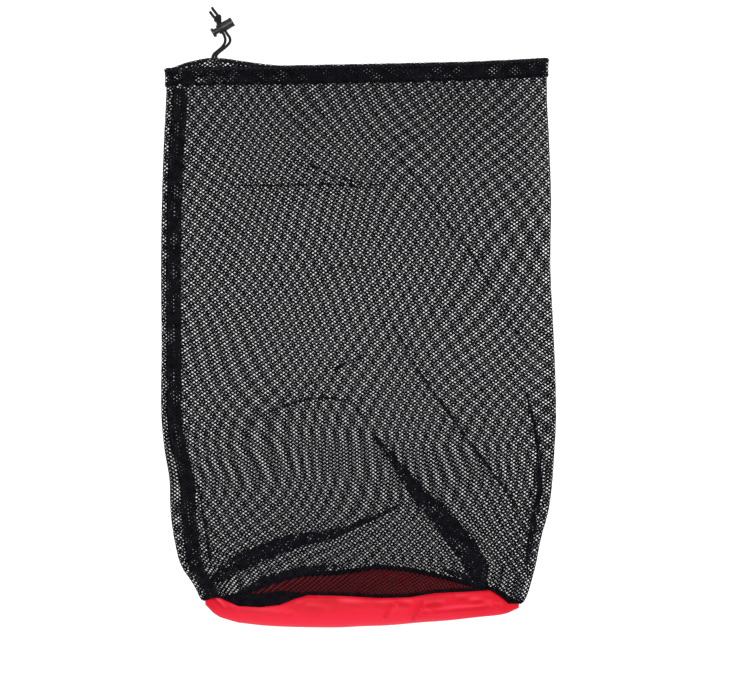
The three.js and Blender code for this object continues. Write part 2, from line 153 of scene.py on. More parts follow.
nylon = {
    "twill": 430.0, "warp": 260.0, "patches": 34.0, "twillShare": 0.3,
    "shades": [(0.25, (0.42, 0.0004, 0.007)), (0.5, (0.6, 0.0012, 0.014)), (0.78, (0.72, 0.012, 0.036))],
    # the inner face's darker red is partly its coating and partly painted shade near the floor
    "innerShadeFrom": 0.0016, "innerShadeTo": 0.004, "innerShadedRed": (0.34, 0.0006, 0.004, 1),
    # the paler red toward the panel's fold is a painted sheen
    "paintedSheenFrom": -0.236, "paintedSheenTo": -0.256, "paintedSheenShare": 0.8, "paintedSheenRed": (0.8, 0.03, 0.062, 1),
    # painted crease shading: slope at which each flank of a crease is at its strongest, how strong, and its
    # colour, painted shade on one flank and painted light on the other
    "paintedCreaseShading": [(0.7, 0.85, (0.4, 0.0005, 0.007, 1)), (-0.7, 0.6, (0.9, 0.075, 0.115, 1))],
}


def nylonFinish(name):
    finish = Finish(name, Roughness=0.5, Specular_IOR_Level=0.12, Sheen_Weight=0.1, Sheen_Roughness=0.35)
    cloth = finish.add("ShaderNodeUVMap", uv_map="flat").outputs["UV"]
    twill = finish.add(
        "ShaderNodeTexWave",
        {"Vector": cloth, "Scale": nylon["twill"], "Distortion": 0.8, "Detail": 1.0, "Detail Scale": 2.0},
        wave_type="BANDS", bands_direction="DIAGONAL",
    )
    warp = finish.add(
        "ShaderNodeTexWave", {"Vector": cloth, "Scale": nylon["warp"], "Distortion": 0.3},
        wave_type="BANDS", bands_direction="X",
    )
    shade = finish.noise(cloth, nylon["patches"], 5.0, 0.6)
    mix = finish.add("ShaderNodeMix", {
        "Factor": nylon["twillShare"], 2: shade, 3: twill.outputs["Fac"],
    }, data_type="FLOAT")
    tone = finish.ramp(mix.outputs[0], nylon["shades"])
    _, along, height = finish.add("ShaderNodeSeparateXYZ", {0: objectPlace(finish)}).outputs
    # toward its fold the panel is painted lighter, a painted sheen along the turned edge
    paintedSheen = finish.add("ShaderNodeMapRange", {
        "Value": along, "From Min": nylon["paintedSheenFrom"], "From Max": nylon["paintedSheenTo"],
        "To Max": nylon["paintedSheenShare"],
    })
    tone = finish.mixed(paintedSheen.outputs[0], tone, nylon["paintedSheenRed"])
    # painted shade on one flank of each crease and painted light on the other, by the crease's slope toward
    # one side
    slope = finish.add("ShaderNodeAttribute", attribute_name="crease").outputs["Fac"]
    for steep, share, colour in nylon["paintedCreaseShading"]:
        amount = finish.add("ShaderNodeMapRange", {"Value": slope, "From Max": steep, "To Max": share})
        tone = finish.mixed(amount.outputs[0], tone, colour)
    # the coated inner face, which lies near the floor, is darker and duller: partly the coating's own colour
    # and partly painted shade
    inner = finish.add("ShaderNodeMapRange", {
        "Value": height, "From Min": nylon["innerShadeFrom"], "From Max": nylon["innerShadeTo"],
    })
    finish.join(finish.mixed(inner.outputs[0], nylon["innerShadedRed"], tone), "Base Color")
    threads = {0: twill.outputs["Fac"], 1: warp.outputs["Fac"]}
    weave = finish.add("ShaderNodeMath", threads, operation="ADD")
    finish.bump(weave.outputs[0], 0.0001, 0.5)
    return finish.material


def cordFinish(name):
    finish = Finish(name, Roughness=0.7, Specular_IOR_Level=0.25, Sheen_Weight=0.03, Sheen_Roughness=0.4)
    place = objectPlace(finish)
    fibres = finish.noise(place, 1800.0, 3.0)
    shades = [(0.35, (0.003, 0.003, 0.004)), (0.7, (0.016, 0.0155, 0.019))]
    finish.join(finish.ramp(fibres, shades), "Base Color")
    finish.bump(fibres, 0.0001, 0.6)
    return finish.material


def plasticFinish(name):
    finish = Finish(name, Roughness=0.45, Specular_IOR_Level=0.35)
    place = objectPlace(finish)
    wear = finish.noise(place, 240.0, 5.0)
    shades = [(0.35, (0.006, 0.006, 0.0075)), (0.75, (0.02, 0.0205, 0.024))]
    finish.join(finish.ramp(wear, shades), "Base Color")
    finish.join(finish.ramp(wear, [(0.3, (0.4,) * 3), (0.7, (0.56,) * 3)]), "Roughness")
    finish.bump(finish.noise(place, 2200.0, 2.0), 0.00003, 0.5)
    return finish.material


materials = {
    "net": yarnFinish("charcoal_net", (0.0022, 0.002, 0.0032), (0.0085, 0.0076, 0.0118)),
    "seam": yarnFinish("charcoal_seam", (0.002, 0.0018, 0.0028), (0.0085, 0.0077, 0.0112)),
    "thread": yarnFinish("black_thread", (0.003, 0.003, 0.0035), (0.012, 0.0115, 0.014), 3200.0),
    "base": nylonFinish("red_nylon"),
    "cord": cordFinish("braided_cord"),
    "lock": plasticFinish("moulded_plastic"),
}

# free drawcord
cord = {
    "radius": 1.25, "plaits": 8, "turn": 7.8, "steps": 17, "plaitWidth": 0.62, "plaitDepth": 0.26,
    "plaitLift": 0.02, "weaveDepth": 0.08, "coreShare": 0.9, "coreSides": 12, "tip": 0.55,
}
strandRoutes = {
    "drawcord_1": [
        (-132.4, 256.5, 2.75), (-132.35, 259.3, 2.6), (-131, 261.9, 1.8), (-128.3, 264.2, 1.4),
        (-125.5, 266.5, 1.35), (-123.1, 269, 1.4), (-121.4, 272, 1.7), (-121.1, 275.3, 2.8),
        (-121.9, 278.3, 4.05), (-122.8, 280, 4.45), (-125.4, 284.5, 4.45), (-127.6, 288.3, 4.45),
        (-128.2, 292.6, 4.2), (-128.3, 296.9, 3.1), (-130.2, 299.6, 2), (-132, 302, 1.4),
        (-133.4, 304.2, 1.35),
    ],
    "drawcord_2": [
        (-129.5, 256.5, 2.75), (-129.45, 259.2, 2.85), (-128.6, 261.2, 3.2), (-126.6, 263.2, 3.4),
        (-124, 265.3, 3.4), (-121.2, 267.5, 3.2), (-118.4, 270.2, 2.8), (-116.7, 273.2, 2.6),
        (-117, 276.4, 3.2), (-118.8, 279.1, 4.1), (-120.35, 281.4, 4.45), (-123, 285.9, 4.45),
        (-125.2, 289.7, 4.45), (-128.0, 292.6, 3.7), (-131, 294.9, 3.1), (-132.6, 296.7, 2),
        (-134, 298.6, 1.4), (-135.2, 300.3, 1.35),
    ],
}


def distances(points):
    return np.concatenate([[0], np.cumsum(np.linalg.norm(np.diff(points, axis=0), axis=1))])


def headings(points):
    ahead = np.gradient(points, axis=0)
    return ahead / np.linalg.norm(ahead, axis=1)[:, None]


def smoothPath(points, step):
    knots = np.array(points, float)
    ends = np.vstack([2 * knots[0] - knots[1], knots, 2 * knots[-1] - knots[-2]])
    fine = []
    for i in range(1, len(ends) - 2):
        a, b, c, d = ends[i - 1:i + 3]
        for t in np.linspace(0, 1, 24, endpoint=False):
            fine.append(0.5 * (2 * b + (c - a) * t + (2 * a - 5 * b + 4 * c - d) * t * t
                               + (3 * b - a - 3 * c + d) * t ** 3))
    fine = np.array([*fine, ends[-2]])
    along = distances(fine)
    count = max(2, int(math.ceil(along[-1] / step)))
    even = np.linspace(0, along[-1], count + 1)
    return np.column_stack([np.interp(even, along, fine[:, k]) for k in range(3)]), even


def carriedFrames(path):
    ahead = headings(path)
    side = np.cross(ahead[0], (0, 0, 1.0))
    if np.linalg.norm(side) < 0.1:
        side = np.cross(ahead[0], (0, 1.0, 0))
    sides = []
    for direction in ahead:
        side = side - direction * side.dot(direction)
        side /= np.linalg.norm(side)
        sides.append(side)
    sides = np.array(sides)
    return ahead, sides, np.cross(ahead, sides)


def tubePoints(centres, out, across, halfWidth, halfDepth, size):
    angles = [2 * math.pi * j / size for j in range(size)]
    return [centre + a * halfWidth * math.cos(angle) + o * halfDepth * math.sin(angle)
            for centre, o, a in zip(centres, out, across) for angle in angles]


def tubeFaces(rings, size):
    faces = []
    for start in range(0, (rings - 1) * size, size):
        for j in range(size):
            beside = (j + 1) % size
            faces.append((start + j, start + beside, start + size + beside, start + size + j))
    faces.append(tuple(reversed(range(size))))
    faces.append(tuple(range((rings - 1) * size, rings * size)))
    return faces


def braidedCord(name, points, radius=cord["radius"], plaits=cord["plaits"]):
    path, even = smoothPath(points, cord["turn"] / cord["steps"])
    _, sides, ups = carriedFrames(path)
    allPoints = []
    allFaces = []

    def addTube(centres, out, across, halfWidth, halfDepth, size):
        start = len(allPoints)
        allPoints.extend(tubePoints(centres, out, across, halfWidth, halfDepth, size))
        allFaces.extend(tuple(k + start for k in face) for face in tubeFaces(len(centres), size))

    addTube(path, ups, sides, radius * cord["coreShare"], radius * cord["coreShare"],
            cord["coreSides"])
    rounded = np.sqrt(np.clip(np.minimum(even, even[-1] - even) / (0.8 * radius), 0.05, 1))
    for way in (1, -1):
        for k in range(plaits):
            angle = way * 2 * math.pi * even / cord["turn"] + 2 * math.pi * k / plaits
            out = sides * np.cos(angle)[:, None] + ups * np.sin(angle)[:, None]
            weave = way * np.sin(plaits * 2 * math.pi * even / cord["turn"] + math.pi * k)
            reach = radius - cord["plaitDepth"] / 2 + cord["plaitLift"] + cord["weaveDepth"] * weave
            centres = path + out * (reach * (cord["tip"] + (1 - cord["tip"]) * rounded))[:, None]
            addTube(centres, out, np.cross(headings(centres), out), cord["plaitWidth"] / 2,
                    cord["plaitDepth"] / 2, 4)
    mesh = meshFrom(name, np.array(allPoints) * mm, allFaces)
    return mesh, path


def makeCords():
    pieces = {}
    for name, points in strandRoutes.items():
        mesh, path = braidedCord(name, points)
        piece = linkMesh(name, mesh, materials["cord"])
        length = float(distances(path)[-1]) * mm
        pieces[name] = (piece, path * mm, length)
        print("cord", name, round(length, 4))
    return pieces


addCamera()
cords = makeCords()

# the lying cloth, in millimetres
size = {
    "width": 360.0, "length": 518.0, "seamHeight": 28.0, "mouthHeight": 17.5, "fold": 3.4, "wall": 1.2,
    "crownSpread": 2.4, "crownRound": 0.9, "hemDepth": 18.0, "hemLayer": 1.0, "hemRise": 10.0,
    "channel": 1.75, "gap": 0.3, "seamWidth": 14.0, "seamInset": 10.0, "baseFront": 30.0,
    "baseBack": 53.0, "cornerRise": 20.0, "pleatWidth": 18.0, "pleatHeight": 5.0, "fade": 26.0,
}
hemOuter = size["channel"] + size["hemLayer"]
mouthTop = size["length"] / 2 - size["hemRise"]
bandBottom = mouthTop - size["hemDepth"] - size["gap"]

# columns: along, left, right, puff, seam
outlineRows = np.array([
    (0.035, 0.78, 0.822, 1, 0.52), (0.054, 0.806, 0.851, 1, 0.55), (0.075, 0.836, 0.871, 0.98, 0.6),
    (0.107, 0.896, 0.896, 0.95, 0.7), (0.153, 0.932, 0.922, 0.88, 0.95), (0.205, 0.952, 0.962, 0.79, 1),
    (0.258, 0.957, 0.982, 0.7, 0.95), (0.311, 0.982, 0.992, 0.62, 0.72), (0.363, 0.997, 1, 0.53, 0.56),
    (0.5, 0.997, 0.99, 0.36, 0.5), (0.626, 1, 0.972, 0.24, 0.5), (0.75, 0.995, 0.975, 0.14, 0.5),
    (0.85, 0.985, 0.965, 0.05, 0.55), (0.94, 0.972, 0.953, 0, 0.62), (1, 0.972, 0.96, 0, 0.62),
])
# columns: across, front, back
hemRows = np.array([
    (0, 0, 0), (0.04, 0.02, 0.5), (0.08, 0.05, 0.84), (0.118, 0.08, 1), (0.165, 0.11, 0.82),
    (0.22, 0.14, 0.53), (0.306, 0.2, 0.2), (0.56, 0.36, 0.36), (0.8, 0.55, 0.55), (0.93, 0.76, 0.76),
    (1, 0.92, 0.92),
])
# columns: across, nose, front, back
baseRows = np.array([
    (0, 1, 0.13, 0.07), (0.03, 0.63, 0.46, 0.22), (0.05, 0.45, 0.59, 0.3), (0.075, 0.31, 0.56, 0.38),
    (0.1, 0.19, 0.52, 0.46), (0.17, 0.09, 0.56, 0.62), (0.235, 0.04, 0.67, 0.76), (0.285, 0.01, 0.87, 0.85),
    (0.33, 0, 1, 0.9), (0.44, 0.02, 0.96, 0.92), (0.555, 0.08, 0.86, 1), (0.645, 0.17, 0.82, 0.92),
    (0.72, 0.26, 0.88, 0.79), (0.835, 0.42, 0.82, 0.56), (0.89, 0.51, 0.79, 0.46), (0.93, 0.57, 0.54, 0.36),
    (0.965, 0.65, 0.28, 0.22), (1, 0.86, 0.13, 0.07),
])
# columns: start, bend and end of each ridge, then its width and height
pleatRows = [
    (0.13, 0.31, 0.36, 0.2, 0.7, 0.075, 1, 1), (-0.04, 0.175, -0.36, 0.17, -0.7, 0.085, 1, 0.9),
    (-0.55, 0.36, -0.12, 0.44, 0.2, 0.28, 1.2, 0.6), (0.06, 0.555, 0.5, 0.34, 0.79, 0.19, 0.9, 0.5),
    (-0.3, 0.84, 0.15, 0.78, 0.41, 0.69, 1, 0.4), (-0.62, 0.765, -0.2, 0.8, 0.16, 0.78, 1, 0.35),
]


def smooth(value, low, high):
    t = np.clip((value - low) / (high - low), 0, 1)
    return t * t * (3 - 2 * t)


def curveThrough(xs, ys, at):
    slopes = np.diff(ys) / np.diff(xs)
    tangents = np.concatenate([slopes[:1], (slopes[1:] + slopes[:-1]) / 2, slopes[-1:]])
    at = np.clip(at, xs[0], xs[-1])
    i = np.clip(np.searchsorted(xs, at, side="right") - 1, 0, len(xs) - 2)
    step = xs[i + 1] - xs[i]
    t = (at - xs[i]) / step
    return ((2 * t ** 3 - 3 * t ** 2 + 1) * ys[i] + (t ** 3 - 2 * t ** 2 + t) * step * tangents[i]
            + (3 * t ** 2 - 2 * t ** 3) * ys[i + 1] + (t ** 3 - t ** 2) * step * tangents[i + 1])


def outlineAt(y):
    shares = [curveThrough(outlineRows[:, 0], outlineRows[:, k],
                           np.minimum(y, bandBottom) / size["length"] + 0.5) for k in range(1, 5)]
    rising = smooth(y, bandBottom - 4 * size["hemDepth"], bandBottom)
    half = size["width"] / 2
    back = size["wall"] / 2 + (hemOuter - size["wall"] / 2) * rising
    low, high = size["mouthHeight"] - hemOuter, size["seamHeight"] - size["wall"] / 2
    return {
        "left": -half * shares[0] + size["wall"] / 2 + size["fold"],
        "right": half * shares[1] - size["wall"] / 2 - size["fold"],
        "back": back,
        "crown": low + (high - low) * shares[2] - back - 2 * size["fold"],
        "seam": -half * shares[0] + size["seamInset"] * shares[3],
    }


def bendPoints(row, count=24):
    ends = [((row[k]) * size["width"] / 2, (row[k + 1] - 0.5) * size["length"]) for k in (0, 2, 4)]
    a, b, c = [np.array(end) for end in ends]
    t = np.linspace(0, 1, count + 1)[:, None]
    return (1 - t) ** 2 * a + 2 * t * (1 - t) * b + t ** 2 * c


def pleatRise(x, y):
    total = np.zeros(np.broadcast(x, y).shape)
    for row in pleatRows:
        nearest = np.full(total.shape, 1e9)
        for px, py in bendPoints(row):
            nearest = np.minimum(nearest, np.hypot(x - px, y - py))
        total += size["pleatHeight"] * row[7] * np.exp(-4 * (nearest / (size["pleatWidth"] * row[6])) ** 2)
    return total


def seamLine(across, side):
    rise = (np.interp(across, baseRows[:, 0], baseRows[:, 2]) * size["baseFront"] if side == "front"
            else np.interp(across, baseRows[:, 0], baseRows[:, 3]) * size["baseBack"])
    return -size["length"] / 2 + np.interp(across, baseRows[:, 0], baseRows[:, 1]) * size["cornerRise"] + rise


def frontHeight(x, y):
    o = outlineAt(y)
    across = (x - o["left"]) / (o["right"] - o["left"])
    bulge = (1 - np.minimum(1, np.abs(2 * across - 1)) ** size["crownSpread"]) ** size["crownRound"]
    clear = np.minimum(np.minimum(x - o["left"], o["right"] - x),
                       np.minimum(bandBottom - y, y - seamLine(across, "front")))
    return (o["back"] + 2 * size["fold"] + o["crown"] * bulge
            + smooth(clear, 0, size["fade"]) * pleatRise(x, y) + ripple(x, y) * smooth(clear, 2, 20))


# low ripples of slack cloth
rippleWaves = [
    # length, heading in degrees, phase, height
    (46, 62, 0.4, 0.35), (71, 118, 1.9, 0.5), (33, 81, 2.7, 0.22), (27, 35, 0.9, 0.16), (95, 150, 4.1, 0.5),
    (19, 101, 3.3, 0.1),
]


def ripple(x, y):
    total = 0
    for length, heading, phase, height in rippleWaves:
        angle = math.radians(heading)
        swing = 2 * math.pi * (x * math.cos(angle) + y * math.sin(angle)) / length
        total = total + height * np.sin(swing + phase + 0.6 * np.sin(swing * 0.31 + phase))
    return total


# stations go once round the flattened tube, from the side seam over the front, round the right fold,
# back along the floor, and round the left fold to the side seam again
ring = {"front": 150, "fold": 8, "back": 110, "strip": 5, "rows": 150, "crowding": 1.15}


def ringStations():
    stations = [("front", t) for t in np.linspace(0, 1, ring["front"] + 1)]
    stations += [("right", a) for a in np.linspace(90, -90, ring["fold"] + 1)]
    stations += [("back", t) for t in np.linspace(1, 0, ring["back"] + 1)[1:-1]]
    stations += [("left", a) for a in np.linspace(270, 90, ring["fold"] + 1)]
    stations += [("strip", t) for t in np.linspace(0, 1, ring["strip"] + 1)[1:]]
    return stations


def stationX(kind, at, o):
    seam = o["seam"] + size["seamWidth"] / 2
    if kind == "front":
        return seam + (o["right"] - seam) * at
    if kind == "strip":
        return o["left"] + (seam - o["left"]) * at
    if kind == "back":
        return o["left"] + (o["right"] - o["left"]) * at
    return o["right"] if kind == "right" else o["left"]


def liftedFront(x, y, offset):
    slope = (frontHeight(x + 1, y) - frontHeight(x - 1, y)) / 2
    steep = np.hypot(slope, 1)
    return np.stack([x - slope / steep * offset, y, frontHeight(x, y) + offset / steep], -1)


def clothPoints(kind, at, y, offset):
    o = outlineAt(y)
    x = stationX(kind, at, o)
    if kind == "back":
        return np.stack([x, y, o["back"] - offset], -1)
    if kind in ("front", "strip"):
        return liftedFront(x, y, offset)
    radius = size["fold"] + offset
    turn = math.radians(at)
    return np.stack([x + radius * math.cos(turn), y, o["back"] + size["fold"] + radius * math.sin(turn)], -1)


def acrossOf(kind, at, y):
    o = outlineAt(y)
    return (stationX(kind, at, o) - o["left"]) / (o["right"] - o["left"])


def hemTopOf(kind, at):
    column = 2 if kind == "back" else 1
    across = acrossOf(kind, at, np.array(mouthTop))
    return mouthTop + size["hemRise"] * float(np.interp(across, hemRows[:, 0], hemRows[:, column]))


def netEndOf(kind, at):
    side = "back" if kind == "back" else "front"
    near = seamLine(acrossOf(kind, at, seamLine(acrossOf(kind, at, seamLine(0.0, side)), side)), side)
    return float(near)


def flatU(points):
    lengths = np.linalg.norm(np.diff(points[..., [0, 2]], axis=0), axis=-1)
    along = np.concatenate([np.zeros((1, points.shape[1])), np.cumsum(lengths, axis=0)])
    # the tube has the same number of meshes round it everywhere, so every row is brought to one length
    along *= np.median(along[-1]) / along[-1]
    return along - np.median(along[ring["front"] // 2])


# how far the lattice strays from straight, so that the two layers cross at changing angles
strayTurn = 0.15  # of the whole lattice, which the fold turns the other way on the back
strayReach = 70  # how far past the cloth the lattice is laid for that
strayWaves = [
    # length, heading in degrees, phase, across, along
    (310, 25, 0.3, 1.8, 1.0), (230, 100, 2.1, -1.2, 1.8), (380, 140, 1.2, 1.6, 2.0),
    (130, 58, 4.4, 0.7, -0.8), (88, 170, 0.7, 0.4, 0.4),
]


def stray(u, v):
    across, along = -strayTurn * v, strayTurn * u
    for length, heading, phase, du, dv in strayWaves:
        angle = math.radians(heading)
        wave = np.sin(2 * math.pi * (u * math.cos(angle) + v * math.sin(angle)) / length + phase)
        across, along = across + du * wave, along + dv * wave
    return across, along


def gridMesh(name, points, flat):
    columns, rows = points.shape[:2]
    index = np.arange(columns * rows).reshape(columns, rows)
    quads = np.stack([index[:-1, :-1], index[:-1, 1:], index[1:, 1:], index[1:, :-1]], -1).reshape(-1, 4)
    across, along = flat[1, 0] - flat[0, 0], flat[0, 1] - flat[0, 0]
    if across[0] * along[1] - across[1] * along[0] > 0:
        quads = quads[:, ::-1]
    mesh = meshFrom(name, points.reshape(-1, 3) * mm, quads)
    layer = mesh.uv_layers.new(name="flat")
    corner = np.empty(len(mesh.loops), int)
    mesh.loops.foreach_get("vertex_index", corner)
    layer.data.foreach_set("uv", (flat.reshape(-1, 2)[corner] * mm).ravel())
    return linkMesh(name, mesh)


def drapeBody():
    # the rows are closer together toward the base
    share = (1 - np.linspace(0, 1, ring["rows"] + 1)) ** ring["crowding"]
    points = []
    for kind, at in ringStations():
        top = hemTopOf(kind, at) - size["hemDepth"] + net["hemLap"]
        low = netEndOf(kind, at)
        points.append(clothPoints(kind, at, low + (top - low) * share, 0.0))
    points = np.array(points)
    u = flatU(points)
    v = points[..., 1]
    du, dv = stray(u, v)
    return gridMesh("drape_body", points, np.stack([u + du, v + dv], -1)), u


# geometry nodes
class Tree:
    def __init__(self, name):
        self.tree = bpy.data.node_groups.new(name, "GeometryNodeTree")
        self.start = self.tree.nodes.new("NodeGroupInput")
        self.end = self.tree.nodes.new("NodeGroupOutput")
        self.tree.interface.new_socket("Geometry", in_out="OUTPUT", socket_type="NodeSocketGeometry")

    def values(self, kind, *names):
        for name in names:
            self.tree.interface.new_socket(name, in_out="INPUT", socket_type="NodeSocket" + kind)
        return [self.start.outputs[name] for name in names]

    def add(self, kind, inputs=None, **settings):
        return addNode(self.tree, kind, inputs, settings)

    def made(self, kind, inputs=None, **settings):
        return self.add("GeometryNode" + kind, inputs, **settings).outputs[0]

    def geometryOf(self, thing):
        return self.add("GeometryNodeObjectInfo", {"Object": thing}).outputs["Geometry"]

    def math(self, operation, a, b=0.0):
        return self.add("ShaderNodeMath", {0: a, 1: b}, operation=operation).outputs[0]

    def vector(self, operation, inputs):
        return self.add("ShaderNodeVectorMath", inputs, operation=operation).outputs[0]

    def finishWith(self, geometry, material):
        real = self.made("RealizeInstances", {0: geometry})
        done = self.made("SetMaterial", {"Geometry": real, "Material": material})
        self.tree.links.new(done, self.end.inputs[0])
        return self.tree


def grown(name, tree, values, material):
    piece = linkMesh(name, bpy.data.meshes.new(name))
    modifier = piece.modifiers.new("nodes", "NODES")
    modifier.node_group = tree
    identifiers = {item.name: item.identifier for item in tree.interface.items_tree
                   if item.item_type == "SOCKET" and item.in_out == "INPUT"}
    for key, value in {**values, "Material": material}.items():
        modifier[identifiers[key]] = value
    bpy.context.view_layer.update()
    mesh = applied(piece)
    mesh.name = name
    mesh.materials.clear()
    mesh.materials.append(material)
    mesh.polygons.foreach_set("material_index", [0] * len(mesh.polygons))
    mesh.polygons.foreach_set("use_smooth", [True] * len(mesh.polygons))
    piece.data = mesh
    return piece


# one hole of the net and the strands round it, flat: knots at the four corners of a rhombus
def netCell(name, across, along, openShare, sides):
    a, b = across / 2, along / 2
    scale = math.sqrt(openShare)
    corners = [(a, 0), (0, b), (-a, 0), (0, -b)]
    if sides == 4:
        rim = [(a * scale, 0), (0, b * scale), (-a * scale, 0), (0, -b * scale)]
        faces = [(k, (k + 1) % 4, 4 + (k + 1) % 4) for k in range(4)]
        faces += [(k, 4 + (k + 1) % 4, 4 + k) for k in range(4)]
    else:
        wide, tall, flat = a * scale * 1.02, b * scale * 0.86, a * scale * 0.3
        rim = [(wide, 0), (flat, tall), (-flat, tall), (-wide, 0), (-flat, -tall), (flat, -tall)]
        faces = [(0, 5, 4), (0, 1, 5), (1, 6, 5), (1, 2, 6), (2, 7, 6), (2, 3, 8), (2, 8, 7), (3, 9, 8),
                 (3, 0, 9), (0, 4, 9)]
    return meshFrom(name, [(x * mm, y * mm, 0) for x, y in corners + rim], faces)


def netTree():
    t = Tree("open_net")
    cell, cloth = t.values("Object", "Cell", "Cloth")
    columns, rows = t.values("Int", "Columns", "Rows")
    across, along, fromX, fromY, thickness = t.values(
        "Float", "Across", "Along", "From across", "From along", "Thickness")
    material, = t.values("Material", "Material")
    position = t.made("InputPosition")

    # a flat lattice, with every second row half a mesh aside
    halfAlong = t.math("MULTIPLY", along, 0.5)
    spanX = t.math("MULTIPLY", across, t.math("SUBTRACT", columns, 1.0))
    spanY = t.math("MULTIPLY", halfAlong, t.math("SUBTRACT", rows, 1.0))
    grid = t.made("MeshGrid", {"Size X": spanX, "Size Y": spanY, "Vertices X": columns, "Vertices Y": rows})
    place = t.add("ShaderNodeSeparateXYZ", {0: position})
    fromStart = t.math("ADD", place.outputs[1], t.math("MULTIPLY", spanY, 0.5))
    row = t.math("ROUND", t.math("DIVIDE", fromStart, halfAlong))
    aside = t.math("MULTIPLY", t.math("MULTIPLY", t.math("MODULO", row, 2.0), 0.5), across)
    shiftX = t.math("ADD", t.math("ADD", aside, fromX), t.math("MULTIPLY", spanX, 0.5))
    shiftY = t.math("ADD", fromY, t.math("MULTIPLY", spanY, 0.5))
    shift = t.add("ShaderNodeCombineXYZ", {0: shiftX, 1: shiftY}).outputs[0]
    lattice = t.made("SetPosition", {"Geometry": grid, "Offset": shift})

    drape = t.geometryOf(cloth)
    uv = t.made("InputNamedAttribute", {"Name": "flat"}, data_type="FLOAT_VECTOR")

    # a value of the cloth at the place of the flat lattice, and whether the cloth reaches there
    def sampled(value):
        node = t.add("GeometryNodeSampleUVSurface",
                     {"Mesh": drape, "Value": value, "Source UV Map": uv, "Sample UV": position},
                     data_type="FLOAT_VECTOR")
        return node.outputs["Value"], node.outputs["Is Valid"]

    def onlyOnCloth(geometry):
        _, reached = sampled(position)
        missed = t.add("FunctionNodeBooleanMath", {0: reached}, operation="NOT").outputs[0]
        return t.made("DeleteGeometry", {"Geometry": geometry, "Selection": missed}, domain="POINT")

    cells = t.made("InstanceOnPoints", {"Points": onlyOnCloth(lattice), "Instance": t.geometryOf(cell)})
    flat = t.made("RealizeInstances", {0: cells})
    inside = onlyOnCloth(t.made("MergeByDistance", {"Geometry": flat, "Distance": 0.00005}))

    # the strands' edges stay on the cloth and their middles are lifted off it to both sides
    rim = t.add("FunctionNodeCompare", {"A": t.made("InputMeshEdgeNeighbors"), "B": 1}, data_type="INT",
                operation="LESS_EQUAL").outputs[0]
    rimEdge = t.made("FieldOnDomain", {0: rim}, data_type="FLOAT", domain="EDGE")
    marked = t.made("StoreNamedAttribute", {"Geometry": inside, "Name": "rim", "Value": rimEdge},
                    data_type="FLOAT", domain="POINT")
    rimShare = t.made("InputNamedAttribute", {"Name": "rim"}, data_type="FLOAT")
    ridge = t.add("FunctionNodeCompare", {"A": rimShare, "B": 0.001}, data_type="FLOAT",
                  operation="LESS_THAN").outputs[0]
    lift = t.math("MULTIPLY", t.math("MULTIPLY", ridge, 0.5), thickness)
    clothPlace, _ = sampled(position)
    clothNormal, _ = sampled(t.made("InputNormal"))

    def layer(sign):
        outward = t.vector("NORMALIZE", {0: clothNormal})
        offset = t.vector("SCALE", {0: outward, "Scale": t.math("MULTIPLY", lift, sign)})
        target = t.vector("ADD", {0: clothPlace, 1: offset})
        return t.made("SetPosition", {"Geometry": marked, "Position": target})

    joined = t.add("GeometryNodeJoinGeometry")
    t.tree.links.new(layer(1.0), joined.inputs[0])
    t.tree.links.new(t.made("FlipFaces", {"Mesh": layer(-1.0)}), joined.inputs[0])
    closed = t.made("MergeByDistance", {"Geometry": joined.outputs[0], "Distance": 0.00001})
    return t.finishWith(closed, material)



net = {
    "across": 4.78, "along": 3.33, "openShare": 0.35, "thickness": 0.55, "bands": 3, "hemLap": 5,
    "left": -260, "right": 660, "rows": (-300, 300),
}
openNet = netTree()


def netPieces(name, cloth, columns, rows, bands, cell, material, thickness, spec, margin=0):
    made = []
    step = spec["along"] / 2
    first, last = [int(math.floor(value / step / 2)) * 2 for value in rows]
    cuts = [first + 2 * int(round((last - first) / 2 * k / bands)) for k in range(bands + 1)]
    spare = 2 * int(margin / spec["along"])
    cuts[0], cuts[-1] = cuts[0] - spare, cuts[-1] + spare
    left = int(math.floor(columns[0] / spec["across"]))
    right = int(math.ceil(columns[1] / spec["across"]))
    for k in range(bands):
        label = name if bands == 1 else "%s_%d" % (name, k + 1)
        piece = grown(label, openNet, {
            "Cell": cell, "Cloth": cloth, "Across": spec["across"] * mm, "Along": spec["along"] * mm,
            "Columns": right - left, "Rows": cuts[k + 1] - cuts[k], "From across": left * spec["across"] * mm,
            "From along": cuts[k] * step * mm, "Thickness": thickness * mm,
        }, material)
        made.append(piece)
        print("net", label, len(piece.data.polygons))
    return made


def makeNet():
    drape, u = drapeBody()
    fold = float(np.median(u[ring["front"] + ring["fold"] // 2]))
    # the split between front and back pieces follows a column of the lattice along the right fold
    split = round(fold / net["across"]) * net["across"]
    made = []
    for side, columns, sides in (("front", (net["left"], split), 6), ("back", (split, net["right"]), 4)):
        cell = linkMesh("cell_" + side, netCell("cell", net["across"], net["along"], net["openShare"], sides))
        made += netPieces("net_" + side, drape, columns, net["rows"], net["bands"], cell, materials["net"],
                          net["thickness"], net, margin=strayReach)
        dropHelpers(cell)
    dropHelpers(drape)
    return made


netParts = makeNet()


# hem, side seam, seam binding and pleats, all of folded net
folds = {
    "thickness": 0.5, "layerGap": 0.62, "hemLeg": 1.4, "channelMiddle": 2.25, "hemOpen": 0.36,
    "hemShift": 240, "hemStray": 0.5, "seamOpen": 0.2, "seamLift": 0.9, "seamIn": 0.3,
    # the binding's bunch width also makes a dark strip standing for the shade inside the pleat by the base
    "bindingOpen": 0.12, "bindingGap": 0.434, "bindingWidth": 2.6, "bindingBunchShade": 9, "bindingBack": 4.2,
    "bunchShadeFrom": -118, "bunchShadeTo": -48, "backLap": 2.0, "tuckDrop": 1.0, "tuckStep": 1.6, "tuckTaper": 12,
    "tuckTip": 0.15,
}
